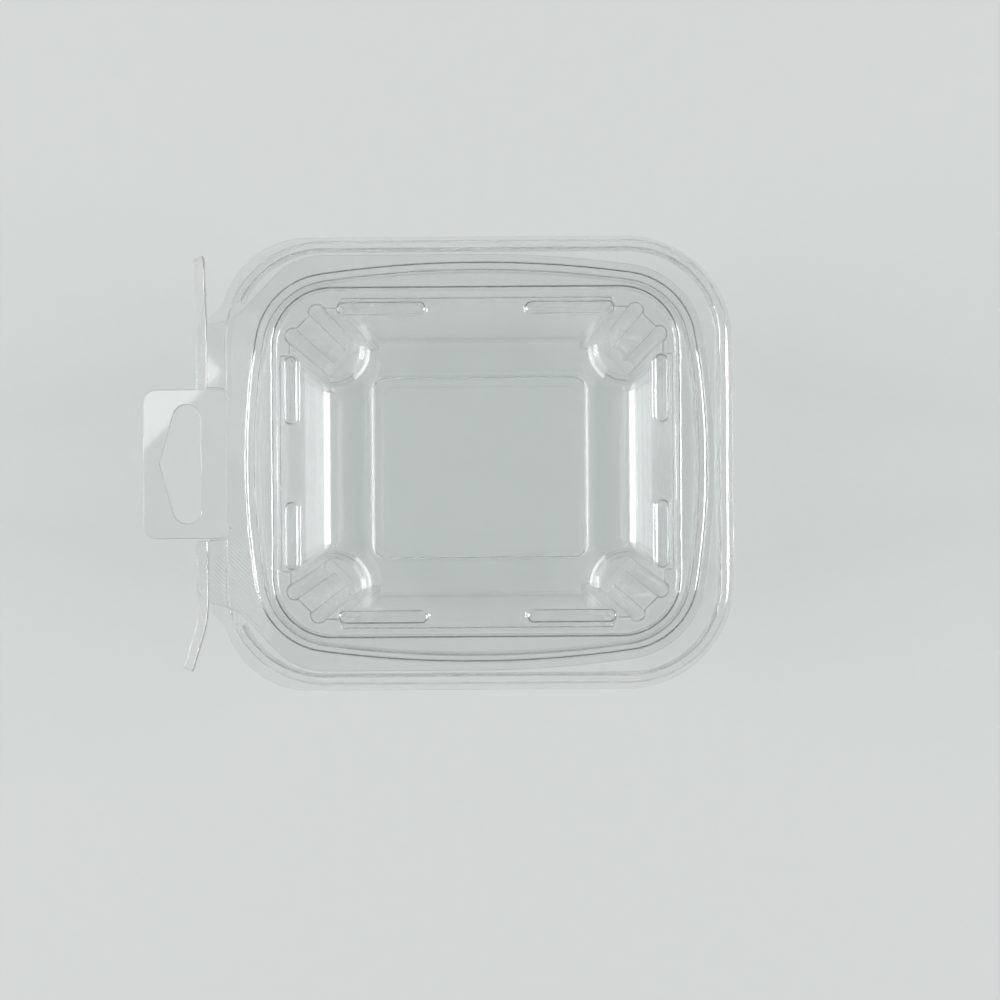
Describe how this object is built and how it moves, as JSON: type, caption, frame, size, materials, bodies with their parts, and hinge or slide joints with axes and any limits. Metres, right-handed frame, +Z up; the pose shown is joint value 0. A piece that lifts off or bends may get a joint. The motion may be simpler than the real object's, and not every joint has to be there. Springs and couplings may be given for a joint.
{
  "type": "plastic clamshell pack",
  "caption": "Clear thermoformed clamshell pack: drafted tray with fluted corners, hinged lid with a raised ring and stacking lugs, hang tab with peg hole, and tear strips at the hinge.",
  "frame": {"origin": "on the table, under the middle of the pack's overall box", "axes": "+X from the hinge and hang tab to the front of the pack, +Z up"},
  "size_m": [0.1568, 0.1224, 0.05],
  "materials": {
    "clear_sheet": "clear thermoformed PET sheet, glossy"
  },
  "bodies": {
    "tray": {"base_tray": "clear_sheet", "right_tear_strip": "clear_sheet", "left_tear_strip": "clear_sheet"},
    "lid": {"hinged_lid": "clear_sheet"}
  },
  "joints": [
    {"name": "lid_hinge", "type": "hinge", "parent": "tray", "child": "lid", "pos_m": [-0.06168, 0, 0.04553], "axis": [0, -1, 0], "range_deg": [0, 160]}
  ]
}
